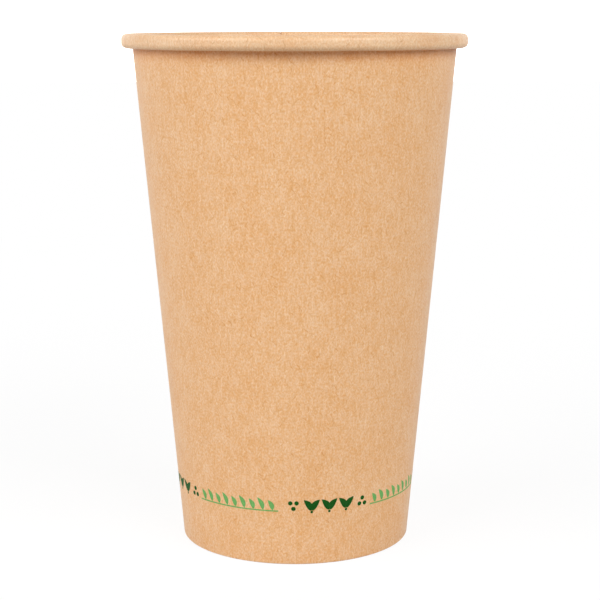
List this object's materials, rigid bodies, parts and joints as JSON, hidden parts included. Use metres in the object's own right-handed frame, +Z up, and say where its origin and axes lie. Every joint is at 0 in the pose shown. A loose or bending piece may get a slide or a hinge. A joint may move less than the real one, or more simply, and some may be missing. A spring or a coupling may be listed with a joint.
{
  "type": "paper cup",
  "caption": "Tapered single-wall paper cup with a rolled rim, a lapped side seam and a recessed base held in a folded hem.",
  "frame": {"origin": "centre of the foot ring, on the surface that the cup stands on", "axes": "+Z up along the cup's axis; the side seam lies on +Y and the printed front faces -Y"},
  "size_m": [0.09, 0.09, 0.134],
  "materials": {
    "printed_kraft": "matte",
    "plain_kraft": "satin"
  },
  "bodies": {
    "root": {"side_wall": "printed_kraft", "base_disc": "plain_kraft"}
  },
  "joints": []
}
